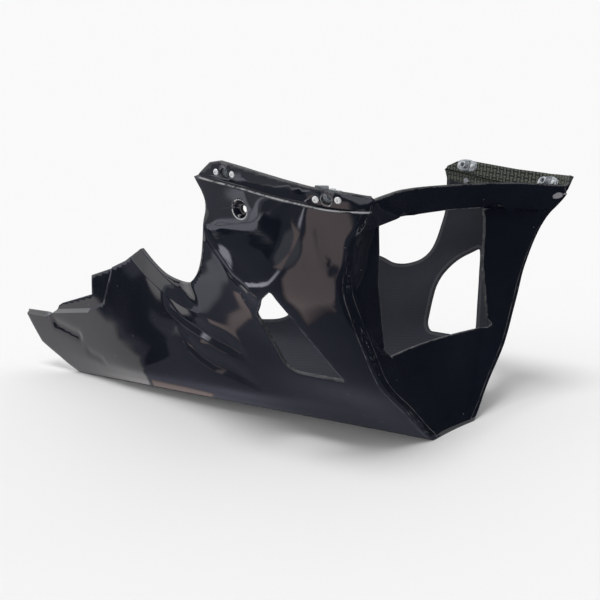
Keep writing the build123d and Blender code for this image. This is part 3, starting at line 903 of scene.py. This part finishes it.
def laminate():
    """The bare inside: satin black cloth, with an open two-tone weave on the flanges."""
    look = Finish("bare_laminate", IOR=1.45, Specular_IOR_Level=0.22)
    x, _, z = look.drawing()
    wander = look.noise(55, 2) - 0.5
    along = (x + wander * 3) / 8.7
    up = (z + x * 0.2 + wander * 2) / 5.3
    row = up.floor()
    a = (along + (row % 2) * 0.5) % 1.0
    b = up % 1.0
    posts = look.bar(a, 0.2, 0.1).larger(look.bar(a, 0.8, 0.1))
    letter = posts.larger(look.bar(b, 0.5, 0.17) * look.bar(a, 0.5, 0.3))
    fibres = look.noise(1, 3, 0.6, look.stretched(300, 300, 2600))
    olive = look.mix(fibres, (0.075, 0.086, 0.066, 1), (0.14, 0.152, 0.12, 1))
    roving = look.mix(letter, olive, (0.014, 0.016, 0.017, 1))
    strands = look.bar((x + z * 0.15 + wander * 4) / 3.1 % 1.0, 0.5, 0.36, 0.14)
    picks = look.bar((z - x * 0.15 + wander * 4) / 3.1 % 1.0, 0.5, 0.36, 0.14)
    cloth = strands * picks
    haze = look.noise(11, 4, 0.6)
    tone = look.between(haze + cloth * 0.12, 0.3, 0.85)
    satin = look.mix(tone, (0.0042, 0.0058, 0.0112, 1), (0.0165, 0.0205, 0.034, 1))
    dusty = look.between(look.noise(160, 5, 0.7), 0.62, 0.72) * look.between(haze, 0.45, 0.65)
    satin = look.mix(look.between(z, 120, 215) * 0.55, satin, (0.004, 0.005, 0.0085, 1))
    satin = look.mix(dusty * 0.5, satin, grey(0.11, 0.06))
    frayed = look.bar(look.noted("cut"), 4.6, 0.9, 0.5) * look.bar((x + z) / 2.3 % 1.0, 0.5, 0.24, 0.12)
    satin = look.mix(frayed * 0.55, satin, grey(0.12, 0.05))
    flange = look.between(look.noted("rise"), -13, -11)
    colour = look.mix(flange, satin, roving)
    rough = look.between(haze, 0.3, 0.7, 0.34, 0.5)
    relief = cloth * 0.6 + letter * flange * -0.8 + look.noise(700, 3) * 0.3
    return look.set(Base_Color=colour, Roughness=rough, Normal=look.bump(relief, 0.25, 0.0006))


def cut_edge():
    """Sawn and filed laminate."""
    look = Finish("cut_edge", IOR=1.45)
    plies = look.noise(1, 3, 0.6, look.stretched(90, 700, 700))
    colour = look.mix(look.between(plies, 0.35, 0.7), (0.012, 0.013, 0.016, 1), (0.085, 0.088, 0.095, 1))
    pale = look.between(look.noise(210, 4, 0.65), 0.58, 0.7)
    return look.set(Base_Color=look.mix(pale * 0.5, colour, grey(0.3, 0.04)), Roughness=0.5)


def plating(name, light, dark, metal):
    """Dulled plated steel or rivet alloy."""
    look = Finish(name, Metallic=metal)
    bloom = look.noise(420, 5, 0.65)
    grime = look.between(look.noise(900, 3), 0.55, 0.75)
    colour = look.mix(look.between(bloom, 0.3, 0.7), light, dark)
    colour = look.mix(grime * 0.45, colour, (0.06, 0.06, 0.065, 1))
    rough = look.between(bloom, 0.3, 0.7, 0.3, 0.55)
    return look.set(Base_Color=colour, Roughness=rough, Normal=look.bump(bloom, 0.15, 0.0003))


def resin():
    """Grey bonding paste."""
    look = Finish("bonding_paste", IOR=1.45)
    lumps = look.noise(330, 5, 0.65)
    colour = look.mix(look.between(lumps, 0.35, 0.65), (0.2, 0.215, 0.235, 1), (0.5, 0.525, 0.56, 1))
    return look.set(Base_Color=colour, Roughness=0.55, Normal=look.bump(lumps, 0.5, 0.0008))


def extrude(rise, size, height):
    """Extrudes what is selected upward and resizes its new end about the axis."""
    bpy.ops.mesh.extrude_region_move(TRANSFORM_OT_translate={"value": (0, 0, rise)})
    bpy.ops.transform.resize(value=(size, size, 1), center_override=(0, 0, height))


def face_outward():
    bpy.ops.mesh.select_all(action="SELECT")
    bpy.ops.mesh.normals_make_consistent(inside=False)


def turned(name, profile, sides=28):
    """A round piece: a disc extruded through its profile of radius and height, in millimetres."""
    radius, height = profile[0]
    bpy.ops.mesh.primitive_circle_add(vertices=sides, radius=radius, fill_type="NGON")
    piece = bpy.context.object
    piece.name = name
    piece.data.transform(Matrix.Translation((0, 0, height)))
    with editing():
        for wide, high in profile[1:]:
            extrude(high - height, wide / radius, high)
            radius, height = wide, high
        face_outward()
    return piece


def block(name, low, high, corner, steps):
    """A plate or bar between two corners, in millimetres, its upright edges rounded."""
    bpy.ops.mesh.primitive_cube_add(size=1)
    piece = bpy.context.object
    piece.name = name
    middle = (Vector(low) + Vector(high)) / 2
    size = Vector(high) - Vector(low)
    piece.data.transform(Matrix.Translation(middle) @ Matrix.Diagonal((*size, 1)))
    with editing():
        bpy.ops.mesh.select_mode(type="EDGE")
        bpy.ops.mesh.select_all(action="DESELECT")
    for edge in piece.data.edges:
        a, b = (piece.data.vertices[i].co for i in edge.vertices)
        edge.select = abs(a.x - b.x) + abs(a.y - b.y) < 1e-4
    with editing():
        bpy.ops.mesh.bevel(offset=corner, segments=steps, affect="EDGES", clamp_overlap=True)
    return piece


def bored(piece, radius):
    """Drills a hole along the piece's own axis."""
    drill = turned("drill", ((radius, -40), (radius, 40)), 24)
    finish_with(piece, "BOOLEAN", operation="DIFFERENCE", object=drill, solver="EXACT")
    bpy.data.objects.remove(drill)
    return piece


def joined(name, pieces):
    bpy.ops.object.select_all(action="DESELECT")
    for piece in pieces:
        piece.select_set(True)
    bpy.context.view_layer.objects.active = pieces[0]
    bpy.ops.object.join()
    pieces[0].name = name
    pieces[0].data.name = name
    return pieces[0]


def softened(piece, width):
    """Takes the edge off a metal piece."""
    finish_with(piece, "BEVEL", width=width, segments=2, limit_method="ANGLE", angle_limit=radians(50))
    return piece


def copy_to(piece, matrix):
    """A copy with its own mesh, moved into place."""
    twin = piece.copy()
    twin.data = piece.data.copy()
    twin.data.transform(matrix)
    bpy.context.scene.collection.objects.link(twin)
    return twin


def dress(piece, look, body_slot, *nodes):
    """Finish, smooth shading and the piece's place in the frame."""
    piece.data.materials.clear()
    piece.data.materials.append(look)
    choose(piece)
    bpy.ops.object.shade_smooth_by_angle(angle=radians(38))
    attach(piece, "root")
    if nodes:
        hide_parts(*nodes)


def seat_matrix(spot, along, across, out):
    """From a seat's own millimetres, with Z out of the flange, to the frame."""
    turn = Matrix((along, across, out)).transposed().to_4x4()
    return Matrix.Translation(at(*spot)) @ turn @ Matrix.Scale(0.001, 4)


def paste_bed(seed):
    """An uneven pad of bonding paste between a nut plate and the wall."""
    bpy.ops.mesh.primitive_circle_add(vertices=56, radius=1, fill_type="NGON")
    piece = bpy.context.object
    for point in piece.data.vertices:
        turn = atan2(point.co.y, point.co.x)
        ahead, aside = cos(turn), sin(turn)
        rough = 1 + 0.10 * noise.noise(Vector((2 * ahead, 2 * aside, seed)))
        rough += 0.07 * noise.noise(Vector((6 * ahead, 6 * aside, seed + 4)))
        point.co.x = 14.0 * rough * abs(ahead) ** 0.7 * (1 if ahead > 0 else -1)
        point.co.y = 6.9 * rough * abs(aside) ** 0.7 * (1 if aside > 0 else -1)
        point.co.z = -2.2
    with editing():
        for drop, size in ((-1.7, 0.98), (-0.5, 0.94), (-0.25, 0.88)):
            extrude(drop, size, 0)
        face_outward()
    return bored(piece, 4.9)


def paste_daub(paste):
    """A daub of paste inside the left panel."""
    daub = turned("paste_daub", ((3.6, 1.2), (3.4, -0.2), (2.4, -0.9), (0.9, -1.3)), 26)
    for point in daub.data.vertices:
        point.co.xy *= 1 + 0.3 * noise.noise(Vector((point.co.x * 0.6, point.co.y * 0.6, 3)))
    x, z = -95.8, 235.8
    inner = Vector((x, half_width(x, z) - WALL - 1.2, z))
    daub.data.transform(seat_matrix(inner, *nut_frame(x, z, 1)[1:]))
    dress(daub, paste, "laminate")


def nut_plate():
    """A pressed two-lug plate with folded edges that cage its nut."""
    lugs = bored(block("plate", (-13, -5.5, PLATE_BACK), (13, 5.5, -4.6), 4.2, 5), 3.6)
    folds = []
    for hand in (-1, 1):
        for name, inner, top in (("fold", 5.0, -5.7), ("lip", 4.6, -7.1)):
            low, high = sorted((hand * inner, hand * 5.7))
            folds.append(block(name, (-4.8, low, -7.8), (4.8, high, top), 0.2, 2))
    return softened(joined("plate", [lugs] + folds), 0.18)


def barrel_nut():
    """A threaded barrel on its square base."""
    barrel = turned("barrel", ((4.1, -6.0), (4.1, -12.3), (3.7, -12.8)), 30)
    base = block("base", (-4.8, -4.8, -6.9), (4.8, 4.8, PLATE_BACK), 0.8, 3)
    return softened(joined("nut", [bored(base, THREAD), bored(barrel, THREAD)]), 0.15)


def blind_rivet():
    """A domed rivet with a sunk centre, and its tail on the inside."""
    head = turned("head", ((2.6, -1.2), (2.75, -0.3), (2.7, 0.25), (2.35, 0.75), (1.75, 1.1), (1.1, 1.22),
                           (0.85, 1.15), (0.75, 0.3)))
    tail = turned("tail", ((1.5, -0.6), (1.5, -5.7), (2.2, PLATE_BACK), (2.35, -6.6), (2.0, -7.5),
                           (1.1, -7.9), (0.5, -7.9)), 20)
    return joined("rivet", [head, tail])


def make_fasteners():
    """Nut plates, nuts, rivets and bonding paste at the four flange seats."""
    steel = plating("plated_steel", (0.60, 0.635, 0.67, 1), (0.34, 0.365, 0.39, 1), 0.35)
    alloy = plating("rivet_alloy", (0.84, 0.85, 0.86, 1), (0.66, 0.67, 0.68, 1), 0.25)
    paste = resin()
    plate, nut, rivet = nut_plate(), barrel_nut(), blind_rivet()
    nuts, rivets = [], []
    for hand, side in ((-1, "right"), (1, "left")):
        for place, (x, z) in NUT_PLACES.items():
            matrix = seat_matrix(*nut_frame(x, z, hand))
            pieces = [copy_to(plate, matrix)]
            if hand < 0 and place == "front":
                tab = block("tab", (-10.5, 4.4, PLATE_BACK), (0.5, 9.0, -4.9), 0.6, 2)
                pieces.append(copy_to(tab, matrix))
                bpy.data.objects.remove(tab)
            seated = joined(f"nut_plate_{side}_{place}", pieces)
            dress(seated, steel, "plated_steel", f"nutplate_{side}_{place}")
            nuts.append(copy_to(nut, matrix))
            for shift in (-RIVET_SHIFT, RIVET_SHIFT):
                rivets.append(copy_to(rivet, matrix @ Matrix.Translation((shift, 0, 0))))
            bed = paste_bed(3.7 * x + hand)
            bed.data.transform(matrix)
            bed.name = f"paste_bed_{side}_{place}"
            dress(bed, paste, "laminate")
    dress(joined("barrel_nuts", nuts), steel, "plated_steel", "captive_nuts")
    dress(joined("blind_rivets", rivets), alloy, "rivet_alloy", "flange_rivets")
    for piece in (plate, nut, rivet):
        bpy.data.objects.remove(piece)
    paste_daub(paste)


def card(name, corners, glow, tint, soft=0.0, around=0.0):
    """A studio card that only shows in the part's gloss, fading at its edges to what lies around it."""
    bpy.ops.mesh.primitive_circle_add(vertices=len(corners), fill_type="NGON")
    piece = bpy.context.object
    piece.name = name
    for point, corner in zip(piece.data.vertices, corners):
        point.co = at(*corner)
    if soft:
        with editing():
            bpy.ops.mesh.select_all(action="SELECT")
            bpy.ops.mesh.inset(thickness=soft / 1000)
    layer = piece.data.attributes.new("glow", "FLOAT", "POINT")
    rim = len(corners) if soft else 0
    for i, value in enumerate(layer.data):
        value.value = float(i >= rim)
    look = Finish(name, Base_Color=(0, 0, 0, 1), Roughness=1.0, Specular_IOR_Level=0.0)
    faded = tuple(part * around / glow for part in tint)
    look.set(Emission_Color=look.mix(look.noted("glow"), (*faded, 1), (*tint, 1)), Emission_Strength=glow)
    piece.data.materials.append(look.material)
    piece.visible_camera = False
    piece.visible_diffuse = False
    piece.visible_shadow = False


def lay_floor():
    """The pale floor that keeps the shadow."""
    bpy.ops.mesh.primitive_plane_add(size=60, location=(0, 0, 0))
    floor = bpy.context.object
    floor.name = "floor"
    ground = Finish("pale_floor", Base_Color=grey(0.9), Roughness=1.0, Specular_IOR_Level=0.0)
    floor.data.materials.append(ground.material)


def light_sky(diffuse, seen_level):
    """A white sky, brighter where it is seen or mirrored than where it lights."""
    world = bpy.data.worlds.new("studio")
    bpy.context.scene.world = world
    world.use_nodes = True
    tree = world.node_tree
    back = tree.nodes["Background"]
    back.inputs["Color"].default_value = (1, 1, 1, 1)
    path = tree.nodes.new("ShaderNodeLightPath")
    seen = path.outputs["Is Camera Ray"]
    for kind in ("Is Glossy Ray", "Is Transmission Ray"):
        larger = tree.nodes.new("ShaderNodeMath")
        larger.operation = "MAXIMUM"
        tree.links.new(seen, larger.inputs[0])
        tree.links.new(path.outputs[kind], larger.inputs[1])
        seen = larger.outputs[0]
    level = tree.nodes.new("ShaderNodeMapRange")
    level.inputs["To Min"].default_value = diffuse
    level.inputs["To Max"].default_value = seen_level
    tree.links.new(seen, level.inputs["Value"])
    tree.links.new(level.outputs[0], back.inputs["Strength"])


def light_sun(energy, width, way):
    sun = bpy.data.lights.new("key", "SUN")
    sun.energy = energy
    sun.angle = radians(width)
    holder = bpy.data.objects.new("key", sun)
    holder.rotation_euler = Vector(way).to_track_quat("-Z", "Y").to_euler()
    bpy.context.scene.collection.objects.link(holder)


def light_up():
    """Pale floor, soft lamps, and dark and bright cards for the gloss."""
    bpy.context.scene.view_settings.view_transform = "Standard"
    lay_floor()
    light_sky(0.62, 0.95)
    light_sun(1.45, 24, (-0.1, 0.3, -0.95))
    for name, (ax, ay), (bx, by), high, glow, tint in WALL_CARDS:
        card(name, ((ax, ay, 0), (bx, by, 0), (bx, by, high), (ax, ay, high)), glow, tint)
    for name, level, glow, tint, soft, corners in FLOOR_CARDS:
        card(name, [(x, y, level) for x, y in corners], glow, tint, soft, BETWEEN_CARDS)


def set_camera():
    """The photograph's camera, with its slight roll."""
    turn, drop, roll = (radians(angle) for angle in CAMERA_ANGLES)
    ahead = Vector((-sin(turn) * cos(drop), cos(turn) * cos(drop), -sin(drop)))
    level = ahead.cross(Vector((0, 0, 1))).normalized()
    lift = level.cross(ahead)
    right = cos(roll) * level + sin(roll) * lift
    up = cos(roll) * lift - sin(roll) * level
    lens = bpy.data.cameras.new("camera")
    lens.sensor_width = 36
    lens.lens = 42
    camera = bpy.data.objects.new("camera", lens)
    turned_to = Matrix((right, up, -ahead)).transposed().to_4x4()
    camera.matrix_world = Matrix.Translation(at(*CAMERA_PLACE)) @ turned_to
    bpy.context.scene.collection.objects.link(camera)
    bpy.context.scene.camera = camera


shell = make_shell((gelcoat(), laminate(), cut_edge()))
choose(shell)
bpy.ops.object.shade_smooth_by_angle(angle=radians(32))
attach(shell, "root")
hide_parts("pan_shell")
make_fasteners()
light_up()
set_camera()
